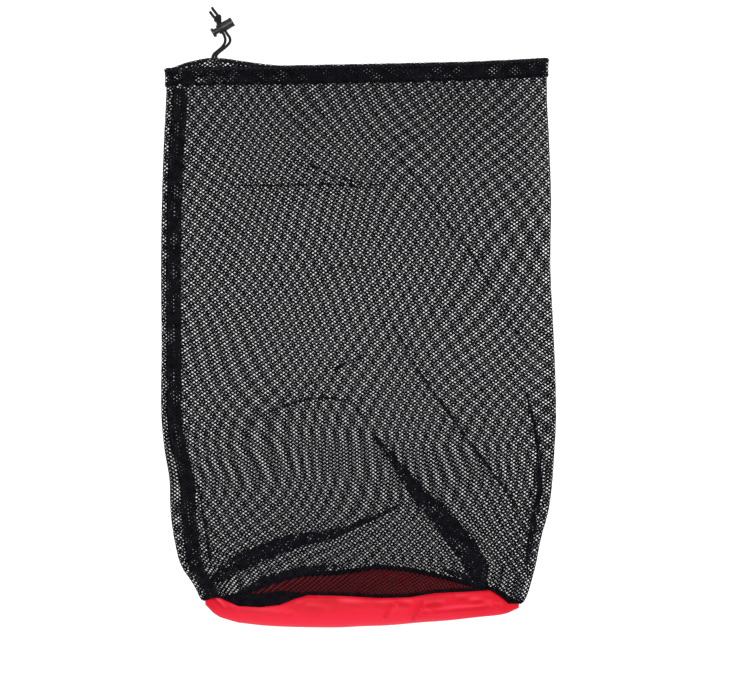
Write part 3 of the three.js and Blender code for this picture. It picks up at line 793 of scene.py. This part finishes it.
# where the front wall is folded over on itself: points across and along, each with the fold's width
tuckRoutes = {
    "pleat_left": [(-141, -219, 9), (-123, -209, 14), (-97, -194, 16), (-62, -181, 14), (-21, -172, 9),
                   (12, -159, 5), (45, -143, 3)],
    "pleat_right": [(7, -75, 3), (30, -104, 8), (54, -135, 15), (80, -164, 19), (103, -195, 22),
                    (118, -222, 18)],
    "arch": [(-110, -86, 2), (-88, -67, 2.6), (-60, -55, 3), (-30, -50, 2.7), (-6, -57, 2.7), (10, -76, 2.6)],
    "arch_upper": [(-91, -68, 1.5), (-64, -49, 1.9), (-37, -33, 2.3), (-11, -19, 2), (18, -8, 1.6)],
    "long_diagonal": [(10, 35, 1.6), (34, 11, 2.4), (54, -24, 3), (76, -56, 3.2), (100, -89, 3.6),
                      (127, -125, 3.6), (154, -164, 3.2)],
    "upper_diagonal": [(18, 194, 1.5), (45, 158, 2.3), (74, 118, 2.6), (107, 73, 2.7), (136, 22, 2.6),
                       (167, -20, 2.3)],
    "upper_level": [(-115, 142, 1.5), (-71, 142, 2.3), (-21, 143, 2.3), (25, 138, 1.8)],
    "upper_short": [(-66, 182, 1.5), (-33, 154, 2.3), (25, 140, 1.9)],
    "top_corner": [(67, 125, 1.5), (81, 158, 2.3), (92, 185, 1.9)],
    "left_short": [(-70, 213, 1.6), (-42, 189, 1.9)],
    "centre_arc": [(-48, 45, 1.4), (-30, 64, 1.8), (-6, 69, 1.8), (30, 59, 1.4)],
    "right_edge": [(147, -27, 2.3), (161, -80, 4.5), (165, -125, 5.9), (158, -171, 6.8), (152, -209, 5.9)],
    "bunch_left": [(-115, -233, 5), (-88, -218, 9), (-53, -207, 8), (-12, -201, 4)],
    "bunch_right": [(74, -204, 3), (101, -214, 7), (121, -224, 6)],
    "left_edge": [(-148, -116, 1.9), (-139, -162, 3.8), (-133, -204, 4.7)],
}


def drapeHem():
    leg, tube, depth = folds["hemLeg"], folds["channelMiddle"], size["hemDepth"]
    neck = 2 * hemOuter
    legShare = np.linspace(1, 0, 12)
    profile = [(leg, neck + (depth - neck) * share) for share in legShare]
    profile += [(tube * math.cos(angle), hemOuter - tube * math.sin(angle))
                for angle in np.linspace(-0.25 * math.pi, 1.25 * math.pi, 22)]
    profile += [(-leg, neck + (depth - neck) * share) for share in legShare[::-1]]
    offsets, depths = np.array(profile).T
    stations = ringStations()
    points = np.array([clothPoints(kind, at, hemTopOf(kind, at) - depths, offsets) for kind, at in stations])
    cloth = np.array([clothPoints(kind, at, np.array([mouthTop]), 0.0) for kind, at in stations])
    u = np.repeat(flatU(cloth), len(profile), axis=1)
    around = np.concatenate([[0], np.cumsum(np.hypot(np.diff(offsets), np.diff(depths)))])
    v = np.broadcast_to(around, u.shape)
    du, dv = stray(u, v + folds["hemShift"])
    return gridMesh("drape_hem", points, np.stack([u + du, v + dv * folds["hemStray"]], -1)), (0, around[-1])


def foldRows(count):
    # how far each row is toward the fold, whether it lies in the second layer, and how far it is unfolded
    shares = np.concatenate([np.linspace(0, 1, count), np.linspace(1, 0, count)])
    return shares, np.arange(2 * count) >= count, np.linspace(0, 2, 2 * count)


def foldedStrip(name, edges, flatEdges, lift, count):
    # edges: two rows of plan points, edges[0] open and edges[1] folded, then back again
    shares, second, unfolded = foldRows(count)
    points, flat = [], []
    for a, b, fa, fb in zip(*edges, *flatEdges):
        points.append(lift(a + (b - a) * shares[:, None], second))
        flat.append(fa + (fb - fa) * unfolded[:, None])
    return gridMesh(name, np.array(points), np.array(flat))


def drapeSideSeam():
    top = hemTopOf("strip", 1) - size["hemDepth"] - size["gap"]
    low = netEndOf("strip", 1)
    y = top + (low - top) * np.linspace(0, 1, ring["rows"] + 1)
    start = outlineAt(y)["seam"]
    edges = [np.stack([start + folds["seamIn"], y], -1), np.stack([start + size["seamWidth"], y], -1)]
    flat = [np.stack([0 * y, y], -1), np.stack([0 * y + size["seamWidth"], y], -1)]

    def lift(point, upper):
        height = folds["seamLift"] + folds["thickness"] / 2 + folds["layerGap"] * upper
        return liftedFront(point[:, 0], point[:, 1], height)

    return foldedStrip("drape_seam", edges, flat, lift, 8)


def drapeBinding():
    points, flat = [], []
    stations = ringStations()
    near = -size["wall"] / 2 - size["gap"] - folds["thickness"] / 2
    shares, second, unfolded = foldRows(5)
    ends = np.array([clothPoints(kind, at, np.array([netEndOf(kind, at)]), near) for kind, at in stations])
    along = distances(ends[:, 0])
    for (kind, at), s in zip(stations, along):
        end = netEndOf(kind, at) + size["gap"] / 2
        x = float(stationX(kind, at, outlineAt(np.array(end))))
        # by the base on the left the binding is widened into a dark strip, a bunch that also stands for the
        # shade inside the pleat there
        bunchedShade = float(smooth(x, folds["bunchShadeFrom"], folds["bunchShadeFrom"] + 20)
                        * (1 - smooth(x, folds["bunchShadeTo"] - 25, folds["bunchShadeTo"])))
        width, start = folds["bindingWidth"] + folds["bindingBunchShade"] * bunchedShade, end
        if kind == "back":
            width, start = folds["bindingBack"], end - folds["backLap"]
        points.append(clothPoints(kind, at, start + width * shares, near - folds["bindingGap"] * second))
        flat.append([(s, width * t) for t in unfolded])
    return gridMesh("drape_binding", np.array(points), np.array(flat)), along[-1]


def drapeTuck(name, route):
    # the route's third column is carried along with its points, then taken off again
    fine, _ = smoothPath(route, folds["tuckStep"])
    line, width = fine[:, :2], fine[:, 2]
    ahead = headings(line)
    aside = np.stack([-ahead[:, 1], ahead[:, 0]], -1)
    along = np.linspace(0, 1, len(line))
    width = width * np.clip(np.minimum(along, 1 - along) * folds["tuckTaper"], folds["tuckTip"], 1)
    edges = [line + aside * width[:, None] * 0.5, line - aside * width[:, None] * 0.5]
    flat = [edges[0], edges[0] + (edges[0] - edges[1])]

    def lift(point, lower):
        z = frontHeight(point[:, 0], point[:, 1])
        return np.stack([point[:, 0], point[:, 1], z - folds["tuckDrop"] - folds["layerGap"] * lower], -1)

    return foldedStrip("drape_tuck_" + name, edges, flat, lift, 6)


def makeFolded():
    parts = {}

    def addStrip(part, name, drape, columns, rows, openShare, margin=0, **changes):
        spec = dict(net, **changes)
        cell = linkMesh("cell_tight", netCell("cell", spec["across"], spec["along"], openShare, 4))
        material = materials["net" if part == "tucks" else "seam"]
        made = netPieces(name, drape, columns, rows, 1, cell, material, folds["thickness"], spec, margin)
        parts[part] = parts.get(part, []) + made
        dropHelpers(drape, cell)

    drape, span = drapeHem()
    addStrip("hem", "hem_band", drape, (net["left"], net["right"]), span, folds["hemOpen"], strayReach)
    addStrip("side_seam", "side_seam_strip", drapeSideSeam(), (-1, 32), (-262, 262), folds["seamOpen"])
    drape, length = drapeBinding()
    addStrip("base_seam_binding", "seam_binding", drape, (0, length), (-1, 20), folds["bindingOpen"],
             across=3.2, along=2.4)
    for name, route in tuckRoutes.items():
        addStrip("tucks", "tuck_" + name, drapeTuck(name, route), (-220, 220), net["rows"], net["openShare"])
    return parts



folded = makeFolded()
print("folded pieces", {key: len(value) for key, value in folded.items()})

# drawcord inside the hem
channelCord = {"exit": 0.118, "clear": 0.3, "step": 2.0, "shortest": 1.2, "sides": 9}


def innerCord():
    o = outlineAt(np.array(mouthTop))
    path = [(kind, at, clothPoints(kind, at, np.array(hemTopOf(kind, at) - hemOuter), 0.0))
            for kind, at in ringStations()]
    gap = (cord["radius"] * 2.2 + channelCord["clear"]) / float(o["right"] - o["left"])

    def stretch(wanted, low=-1e9, high=1e9):
        return [point for kind, at, point in path if kind == wanted and low < at < high]

    # from the exit round to the exit again
    place = channelCord["exit"]
    line = np.array(stretch("back", high=place - gap) + stretch("left") + stretch("strip")
                    + stretch("front")[1:] + stretch("right") + stretch("back", low=place + gap))
    keep = [0]
    for k in range(1, len(line)):
        if np.linalg.norm(line[k] - line[keep[-1]]) > channelCord["shortest"]:
            keep.append(k)
    even, _ = smoothPath(line[keep], channelCord["step"])
    _, sides, ups = carriedFrames(even)
    points = tubePoints(even, ups, sides, cord["radius"], cord["radius"], channelCord["sides"])
    mesh = meshFrom("drawcord_hidden", np.array(points) * mm, tubeFaces(len(even), channelCord["sides"]))
    return linkMesh("drawcord_hidden", mesh, materials["cord"])


hiddenCord = innerCord()

# base panel
base = {
    "columns": 200, "noseSteps": 22, "backSteps": 6, "wall": 0.8, "lean": 0.7, "edgeLap": 0.4, "slack": 0.3,
    "clear": 0.02,
}
# columns: crease ends across and along in millimetres, width and depth
creaseRows = [
    (25, -247, 34, -238, 3.2, 1.5), (34, -238, 47, -236, 3.2, 1.2), (50, -250, 60, -238, 3.0, 1.5),
    (60, -238, 76, -236, 3.4, 1.0), (56, -247, 66, -241, 3.0, 1.0), (70, -243, 128, -238, 3.6, 0.9),
    (-36, -231, 10, -238, 4.0, 0.8), (10, -238, 30, -237, 4.0, 0.7), (-134, -229, -122, -240, 3.2, 1.0),
    (-120, -240, -60, -246, 5.0, 0.6), (88, -231, 118, -236, 4.0, 0.8), (-60, -236, -30, -241, 5.0, 0.5),
]


def creaseDepth(x, y):
    total = np.zeros(np.shape(x))
    for ax, ay, bx, by, width, depth in creaseRows:
        dx, dy = bx - ax, by - ay
        t = np.clip(((x - ax) * dx + (y - ay) * dy) / (dx * dx + dy * dy), 0, 1)
        away = np.hypot(x - ax - t * dx, y - ay - t * dy)
        total = total + depth * np.exp(-(away / width * 2) ** 2) * np.sin(math.pi * (0.15 + 0.7 * t))
    return total


def backEdgeCurve():
    shares = np.linspace(0, 1, 80)
    points = [clothPoints("back", share, np.array(netEndOf("back", share)), 0.0) for share in shares]
    return np.array([point[0] for point in points]), np.array([point[1] for point in points])


def makeBase():
    backX, backY = backEdgeCurve()
    points, flat, slopes = [], [], []
    for share in np.linspace(0.0, 1.0, base["columns"] + 1):
        seam = float(seamLine(share, "front"))
        o = outlineAt(np.array(seam))
        x = float(o["left"] + (o["right"] - o["left"]) * share)
        top = float(frontHeight(np.array(x), np.array(seam))) + size["wall"] / 2
        corner = float(np.interp(share, baseRows[:, 0], baseRows[:, 1]))
        nose = -size["length"] / 2 + corner * size["cornerRise"]
        front = seam + base["edgeLap"]
        back = float(np.interp(x, backX, backY)) - 2 * size["gap"]
        turn = min(front, back - size["gap"])
        profile = []
        for angle in np.linspace(0.5 * math.pi, -0.5 * math.pi, base["noseSteps"] + 1):
            depth, centre = (front - nose, front) if angle > 0 else (turn - nose, turn)
            profile.append((centre - depth * math.cos(angle), top * (1 + math.sin(angle)) / 2))
        for step in np.linspace(0, 1, base["backSteps"] + 1)[1:]:
            profile.append((turn + (back - turn) * step, 0.0))
        profile = np.array(profile)
        along = np.gradient(profile, axis=0)
        along /= np.linalg.norm(along, axis=1)[:, None] + 1e-9
        outward = np.stack([along[:, 1], -along[:, 0]], -1)
        upper = smooth(profile[:, 1], 1.0, 6.0)
        crease = creaseDepth(np.full(len(profile), x), profile[:, 0])
        # the crease's rise toward one side, kept for the painted shade and painted light on its flanks
        beyond, short = [creaseDepth(x + lean, profile[:, 0] + lean)
                         for lean in (base["lean"], -base["lean"])]
        slopes.append(beyond - short)
        wave = 0.35 * np.sin(x / 9.0 + profile[:, 0] / 6.0)
        wave = wave + 0.25 * np.sin(x / 21.0 - profile[:, 0] / 11.0 + 1.0)
        profile = profile - outward * (upper * (crease + 0.5 * wave + base["slack"]))[:, None]
        points.append([(x, py, max(pz, base["clear"])) for py, pz in profile])
        flat.append([(x, -s) for s in distances(profile)])
    panel = gridMesh("base_cloth", np.array(points), np.array(flat))
    crease = panel.data.attributes.new("crease", "FLOAT", "POINT")
    crease.data.foreach_set("value", np.array(slopes).ravel())
    panel.data.materials.append(materials["base"])
    wall = panel.modifiers.new("wall", "SOLIDIFY")
    wall.thickness = base["wall"] * mm
    wall.offset = -1
    panel.data = applied(panel)
    return panel


basePiece = makeBase()
print("base", len(basePiece.data.polygons))

# cord lock and knot
lock = {
    "turn": 30.5, "place": (-124.2, 285.2, 4.45), "radius": 4.4, "length": 15.7, "wall": 1.3, "mouth": 4.1,
    "gap": 0.3, "travel": 2.5, "plungerEnd": 1.8, "buttonRadius": 4.3, "buttonDepth": 2.6, "buttonReach": 5.8,
    "holeSpacing": 2.8, "sides": 64, "ribs": 5,
    "ribFrom": 0.9, "ribSpacing": 0.75, "ribWidth": 0.62, "ribDepth": 0.16, "capStep": 0.22, "capDepth": 2.2,
    "round": 0.45, "buttonRound": 0.5, "dish": 0.35, "slotReach": 20, "sharpFrom": 38,
}


def lathe(name, profile, sides):
    points, faces = [], []
    rings = [k for k, (_, radius) in enumerate(profile) if radius > 1e-6]
    starts = {}
    for k, (along, radius) in enumerate(profile):
        starts[k] = len(points)
        if radius <= 1e-6:
            points.append((along, 0.0, 0.0))
        else:
            for j in range(sides):
                angle = 2 * math.pi * j / sides
                points.append((along, radius * math.cos(angle), radius * math.sin(angle)))
    for k in range(len(profile) - 1):
        one, two = starts[k], starts[k + 1]
        for j in range(sides):
            n = (j + 1) % sides
            if k not in rings:
                faces.append((one, two + j, two + n))
            elif k + 1 not in rings:
                faces.append((one + j, two, one + n))
            else:
                faces.append((one + j, two + j, two + n, one + n))
    return meshFrom(name, np.array(points) * mm, faces)


def rounded(profile, reach, steps=4):
    # rounds each inner corner of a lathe profile by reach
    out = [profile[0]]
    for before, here, after in zip(profile, profile[1:], profile[2:]):
        a, b, c = np.array(before), np.array(here), np.array(after)
        r = min(reach, np.linalg.norm(a - b) * 0.45, np.linalg.norm(c - b) * 0.45)
        p, q = b + (a - b) / np.linalg.norm(a - b) * r, b + (c - b) / np.linalg.norm(c - b) * r
        for t in np.linspace(0, 1, steps + 1):
            out.append(tuple((1 - t) ** 2 * p + 2 * t * (1 - t) * b + t ** 2 * q))
    return [*out, profile[-1]]


def slotMesh(name, width, radius, reach):
    outline = []
    for side, start in ((1, -90), (-1, 90)):
        for k in range(13):
            angle = math.radians(start + 180 * k / 12)
            outline.append((side * (width / 2 - radius) + radius * math.cos(angle), radius * math.sin(angle)))
    count = len(outline)
    points = [(x, s * reach, z) for s in (-1, 1) for x, z in outline]
    faces = [(k, k + count, (k + 1) % count + count, (k + 1) % count) for k in range(count)]
    faces += [tuple(range(count)), tuple(reversed(range(count, 2 * count)))]
    return meshFrom(name, np.array(points) * mm, faces, smooth=False)


def outwardFaces(mesh):
    shape = bmesh.new()
    shape.from_mesh(mesh)
    bmesh.ops.remove_doubles(shape, verts=shape.verts, dist=1e-7)
    bmesh.ops.recalc_face_normals(shape, faces=shape.faces)
    shape.to_mesh(mesh)
    shape.free()


def lockPiece(name, profile, slot):
    mesh = lathe(name, profile, lock["sides"])
    outwardFaces(mesh)
    outwardFaces(slot)
    piece = linkMesh(name, mesh, materials["lock"])
    cutter = linkMesh(name + "_cut", slot)
    cut = piece.modifiers.new("cut", "BOOLEAN")
    cut.operation, cut.solver, cut.object = "DIFFERENCE", "EXACT", cutter
    made = applied(piece)
    dropHelpers(cutter)
    turn = math.radians(lock["turn"])
    place = np.array(lock["place"]) * mm
    for vertex in made.vertices:
        x, y, z = vertex.co
        vertex.co = (place[0] + x * math.cos(turn) - y * math.sin(turn),
                     place[1] + x * math.sin(turn) + y * math.cos(turn), place[2] + z)
    made.materials.clear()
    made.materials.append(materials["lock"])
    piece.data = made
    made.shade_smooth()
    made.set_sharp_from_angle(angle=math.radians(lock["sharpFrom"]))
    return piece


def makeLock():
    end = lock["length"] - lock["mouth"]
    start = -lock["mouth"]
    radius, inner = lock["radius"], lock["radius"] - lock["wall"]
    shell = [(end - lock["wall"], 0), (end - lock["wall"], inner), (start, inner), (start, radius - 0.05)]
    for k in range(lock["ribs"]):
        at = start + lock["ribFrom"] + k * lock["ribSpacing"]
        shell += [(at, radius), (at + 0.12, radius - lock["ribDepth"]), (at + 0.5, radius - lock["ribDepth"]),
                  (at + lock["ribWidth"], radius)]
    cap = end - lock["capDepth"]
    shell += [(cap - 0.1, radius - lock["capStep"]), (cap, radius), (end, radius), (end, 0)]
    slotRadius = cord["radius"] + lock["gap"]
    hole = lock["holeSpacing"] + 2 * slotRadius
    barrel = lockPiece("cord_lock_barrel_shell", rounded(shell, lock["round"]),
                       slotMesh("slot", hole, slotRadius, lock["slotReach"]))
    face = start - lock["buttonReach"]
    plungerRadius = inner - lock["gap"]
    r = lock["buttonRadius"]
    back, tip, dish = face + lock["buttonDepth"], hole / 2 + lock["plungerEnd"], face + lock["dish"]
    shaft = [(dish, 0), (dish, r * 0.5), (face, r * 0.62), (face, r), (back, r), (back, plungerRadius),
             (tip, plungerRadius), (tip, 0)]
    slot = slotMesh("slot", hole + lock["travel"], slotRadius, lock["slotReach"])
    for vertex in slot.vertices:
        vertex.co.x -= lock["travel"] / 2 * mm
    plunger = lockPiece("cord_lock_button", rounded(shaft, lock["buttonRound"]), slot)
    return barrel, plunger


knot = {
    "place": (1.2, 8.5, -0.2), "reach": 2.75, "strandOffset": 0.6, "radius": 1.15, "plaits": 6, "open": 0.25,
    "height": 1.05, "shift": 0.35, "points": 26,
}


def makeKnot():
    turn = math.radians(lock["turn"])
    ax, ay, az = knot["place"]
    centre = np.array([lock["place"][0] + ax * math.cos(turn) - ay * math.sin(turn),
                       lock["place"][1] + ax * math.sin(turn) + ay * math.cos(turn), lock["place"][2] + az])
    across = np.array([math.cos(turn), math.sin(turn), 0])
    ahead = np.array([-math.sin(turn), math.cos(turn), 0])
    up = np.array([0, 0, 1.0])
    meshes = []
    for side in (-1, 1):
        route = []
        for t in np.linspace(knot["open"], 2 * math.pi - knot["open"], knot["points"]):
            x = (math.sin(t) + 2 * math.sin(2 * t)) / 3 * knot["reach"]
            y = (math.cos(t) - 2 * math.cos(2 * t)) / 3 * knot["reach"]
            z = -math.sin(3 * t) * knot["height"]
            route.append(centre + across * (x + knot["shift"] * side)
                         + ahead * (y + side * knot["strandOffset"]) + up * z)
        mesh, _ = braidedCord("knot_%d" % side, route, radius=knot["radius"], plaits=knot["plaits"])
        meshes.append(linkMesh("knot_%d" % side, mesh, materials["cord"]))
    with bpy.context.temp_override(active_object=meshes[0], selected_editable_objects=meshes):
        bpy.ops.object.join()
    meshes[0].name = "overhand_knot"
    return meshes[0]


barrelPiece, plungerPiece = makeLock()
knotPiece = makeKnot()
print("cord lock and knot")

# stitches
stitch = {
    "length": 2.1, "spacing": 2.9, "thickness": 0.42, "proud": 0.15, "hemLow": 2.5, "hemHigh": 1.2,
    "seamLeft": 2.2, "seamRight": 1.8, "fromBase": 2.2, "clear": 0.1,
}


def stitchTree():
    t = Tree("stitches")
    line, = t.values("Object", "Line")
    spacing, length, thick = t.values("Float", "Spacing", "Length", "Thickness")
    material, = t.values("Material", "Material")
    curve = t.made("MeshToCurve", {0: t.geometryOf(line)})
    spaced = t.made("ResampleCurve", {"Curve": curve, "Length": spacing}, mode="LENGTH")
    tangent = t.made("InputTangent")
    turned = t.add("FunctionNodeAlignRotationToVector", {"Vector": tangent}, axis="X").outputs[0]
    ball = t.made("MeshUVSphere", {"Segments": 6, "Rings": 3, "Radius": 0.5})
    shape = t.add("ShaderNodeCombineXYZ", {0: length, 1: thick, 2: thick}).outputs[0]
    placed = t.made("InstanceOnPoints", {
        "Points": spaced, "Instance": ball, "Rotation": turned, "Scale": shape,
    })
    return t.finishWith(placed, material)



threadTree = stitchTree()


def stitchLine(name, points):
    mesh = bpy.data.meshes.new("line")
    edges = [(k, k + 1) for k in range(len(points) - 1)]
    mesh.from_pydata([tuple(point) for point in np.array(points) * mm], edges, [])
    line = linkMesh("line", mesh)
    values = {key.capitalize(): stitch[key] * mm for key in ("spacing", "length", "thickness")}
    piece = grown(name, threadTree, {"Line": line, **values}, materials["thread"])
    dropHelpers(line)
    return piece


def makeStitches():
    stations = ringStations()
    made = {}
    over = folds["hemLeg"] + folds["thickness"] / 2 + stitch["clear"]
    rows = {"low": size["hemDepth"] - stitch["hemLow"], "high": 2 * hemOuter + stitch["hemHigh"]}
    for label, down in rows.items():
        made["hem_stitches_" + label] = ([clothPoints(kind, at, np.array(hemTopOf(kind, at) - down), over)
                                          for kind, at in stations], "hem")
    y = np.linspace(bandBottom - 1, netEndOf("strip", 1) + 2, 160)
    for label, inset in (("left", stitch["seamLeft"]), ("right", size["seamWidth"] - stitch["seamRight"])):
        height = folds["seamLift"] + folds["thickness"] + folds["layerGap"] + stitch["proud"]
        made["seam_stitches_" + label] = (liftedFront(outlineAt(y)["seam"] + inset, y, height), "seam")
    near = size["wall"] / 2 + stitch["proud"]
    made["base_stitches"] = ([clothPoints(kind, at, np.array(netEndOf(kind, at) + stitch["fromBase"]), near)
                              for kind, at in stations if kind in ("front", "strip")], "seam")
    return [(stitchLine(name, points), slot) for name, (points, slot) in made.items()]


stitches = makeStitches()
print("stitches", [len(piece.data.polygons) for piece, _ in stitches])


# floor and light
light = {"sky": 0.5, "sun": 2.7, "sunSpread": 5, "floorReach": 6, "floorGlow": 0.2}


def floorFinish():
    return Finish("pale_floor", Roughness=0.9, Specular_IOR_Level=0.1, Base_Color=(0.92, 0.92, 0.92, 1),
                  Emission_Color=(1, 1, 1, 1), Emission_Strength=light["floorGlow"]).material


def addStudio():
    reach = light["floorReach"]
    corners = [(-reach, -reach, 0), (reach, -reach, 0), (reach, reach, 0), (-reach, reach, 0)]
    floor = linkMesh("floor", meshFrom("floor", corners, [(0, 1, 2, 3)]), floorFinish())
    world = bpy.data.worlds.new("studio")
    bpy.context.scene.world = world
    world.use_nodes = True
    sky = world.node_tree.nodes["Background"]
    sky.inputs["Color"].default_value = (1, 1, 1, 1)
    sky.inputs["Strength"].default_value = light["sky"]
    sun = bpy.data.objects.new("sun", bpy.data.lights.new("sun", "SUN"))
    sun.data.energy = light["sun"]
    sun.data.angle = math.radians(light["sunSpread"])
    bpy.context.collection.objects.link(sun)
    bpy.context.scene.view_settings.view_transform = "Standard"


# what each piece rides on and stands for
def put(piece, slot, *nodes, body="sack"):
    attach(piece, body)
    if nodes:
        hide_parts(*nodes)


def placePieces():
    for piece in netParts + folded["tucks"]:
        put(piece, "net", "mesh_body")
    put(folded["hem"][0], "hem", "hem")
    put(folded["side_seam"][0], "seam", "side_seam")
    put(folded["base_seam_binding"][0], "seam", "base_seam_binding")
    put(hiddenCord, "cord", "drawcord_in_hem")
    put(basePiece, "base", "base_panel")
    put(barrelPiece, "lock", "cord_lock_barrel")
    put(plungerPiece, "lock", "cord_lock_plunger", body="plunger")
    put(knotPiece, "cord", "end_knot")
    for piece, slot in stitches:
        put(piece, slot)
    for name, (piece, path, length) in cords.items():
        number = name[-1]
        put(piece, "cord", "drawcord_strand_" + number, "drawcord_end_" + number)
        tuple(path[0])
        [tuple(point) for point in path]


addStudio()
placePieces()
